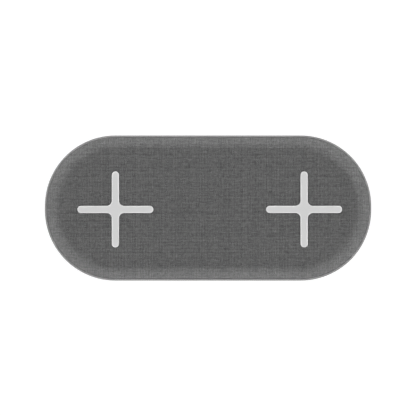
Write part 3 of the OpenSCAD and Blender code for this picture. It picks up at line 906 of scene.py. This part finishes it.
# --------------------------------------------------------------------------
# Contacts on the inlet's tongue
# --------------------------------------------------------------------------
CONTACTS = 12            # on each face of the tongue
CONTACT_PITCH = 0.5
CONTACT_W = 0.25
CONTACT_SUNK = 0.05      # into the tongue, and proud of it
CONTACT_PROUD = 0.02
CONTACT_FRONT = 0.25     # from the tongue's tip to a contact's two ends
CONTACT_BACK = 3.6
CONTACT_TAPER = 0.15     # length of the narrowed nose
CONTACT_NARROW = 0.05
TONGUE_HALF_T = 0.35


def contact_strip(x, front, back, bottom, top, first):
    """One strip as three rings of four corners, numbered from first."""
    half = CONTACT_W / 2
    points = []
    for y, narrow in ((back, 0.0), (front - CONTACT_TAPER, 0.0),
                      (front, CONTACT_NARROW)):
        left, right = x - half + narrow, x + half - narrow
        points += [(left, y, bottom), (right, y, bottom),
                   (right, y, top), (left, y, top)]
    faces = []
    for ring in (first, first + 4):
        for k in range(4):
            a, b = ring + k, ring + (k + 1) % 4
            faces.append((a, b, b + 4, a + 4))
    faces.append((first + 3, first + 2, first + 1, first))
    faces.append((first + 8, first + 9, first + 10, first + 11))
    return points, faces


def tongue_contacts():
    """Gold strips on both faces of the inlet's tongue."""
    tip = box_mm("usb_c_tongue")[1][1]
    shell_low, shell_high = box_mm("usb_c_shell")
    middle_z = (shell_low[2] + shell_high[2]) / 2
    points, faces = [], []
    for face in (-1, 1):
        skin = middle_z + face * TONGUE_HALF_T
        bottom, top = sorted((skin - face * CONTACT_SUNK, skin + face * CONTACT_PROUD))
        for k in range(CONTACTS):
            strip = contact_strip((k - (CONTACTS - 1) / 2) * CONTACT_PITCH,
                                  tip - CONTACT_FRONT, tip - CONTACT_BACK,
                                  bottom, top, len(points))
            points += strip[0]
            faces += strip[1]
    gold = brushed("contact_gold", rgba(0.85, 0.62, 0.25), 0.25, grain_axis="y")
    add_piece("usb_c_contacts", points, faces, gold, smooth=False)


tongue_contacts()


# --------------------------------------------------------------------------
# Floor, light and camera
# --------------------------------------------------------------------------
FLOOR_HALF = 14.0        # metres
FLOOR_GLOW = 0.85
ZENITH = 0.6             # strength of the light from above, and of the low ring
RING = 20.0
RING_WIDTH = 0.14        # sine of the elevation at which the low light fades
BACKDROP = 1.2           # what the camera sees behind the floor

floor_mesh = bpy.data.meshes.new("floor")
floor_mesh.from_pydata(
    [(x * FLOOR_HALF, y * FLOOR_HALF, 0.0)
     for x, y in ((-1, -1), (1, -1), (1, 1), (-1, 1))], [], [(0, 1, 2, 3)])
floor = bpy.data.objects.new("floor", floor_mesh)
bpy.context.scene.collection.objects.link(floor)
table = Finish("light_table", colour=grey(0.25), roughness=0.9, specular=0.1,
               glow=grey(1.0), glow_strength=FLOOR_GLOW)
floor_mesh.materials.append(table.material)

# Soft light from all round, strongest near the table, as low strip boxes give
world = bpy.data.worlds.new("studio")
world.use_nodes = True
bpy.context.scene.world = world
sky = world.node_tree
sky_point = add_node(sky, "TexCoord", {}, output="Generated")
rise = add_node(sky, "SeparateXYZ", {0: sky_point}, output=2)
rise = add_node(sky, "Math", {0: rise, 1: 1 / RING_WIDTH}, operation="MULTIPLY")
rise = add_node(sky, "Math", {0: rise, 1: 2.0}, operation="POWER")
ring = add_node(sky, "Math", {0: rise, 1: -1.0}, operation="MULTIPLY")
ring = add_node(sky, "Math", {0: ring}, operation="EXPONENT")
ring = add_node(sky, "Math", {0: ring, 1: RING, 2: ZENITH}, operation="MULTIPLY_ADD")
seen = add_node(sky, "LightPath", {}, output="Is Camera Ray")
strength = add_node(sky, "Mix", {0: seen, 2: ring, 3: BACKDROP})
feed(sky, strength, sky.nodes["Background"].inputs["Strength"])
feed(sky, grey(1.0), sky.nodes["Background"].inputs["Color"])

# Straight above the pad; its length takes this share of the frame's width
SHARE = 326.2 / 416
VIEW_OFFSET = (-0.03e-3, 0.03e-3)
LENS = 400.0
SENSOR = 36.0
CLIP_END = 100.0
pad_low, pad_high = CAD_BOUNDS
frame_width = (pad_high[0] - pad_low[0]) / SHARE
camera_data = bpy.data.cameras.new("camera")
camera_data.lens = LENS
camera_data.sensor_width = SENSOR
camera_data.clip_end = CLIP_END
camera = bpy.data.objects.new("camera", camera_data)
camera.location = (*VIEW_OFFSET, BASE_HIGH[2] * MM + frame_width * LENS / SENSOR)
bpy.context.scene.collection.objects.link(camera)
bpy.context.scene.camera = camera
bpy.context.scene.view_settings.view_transform = "Standard"
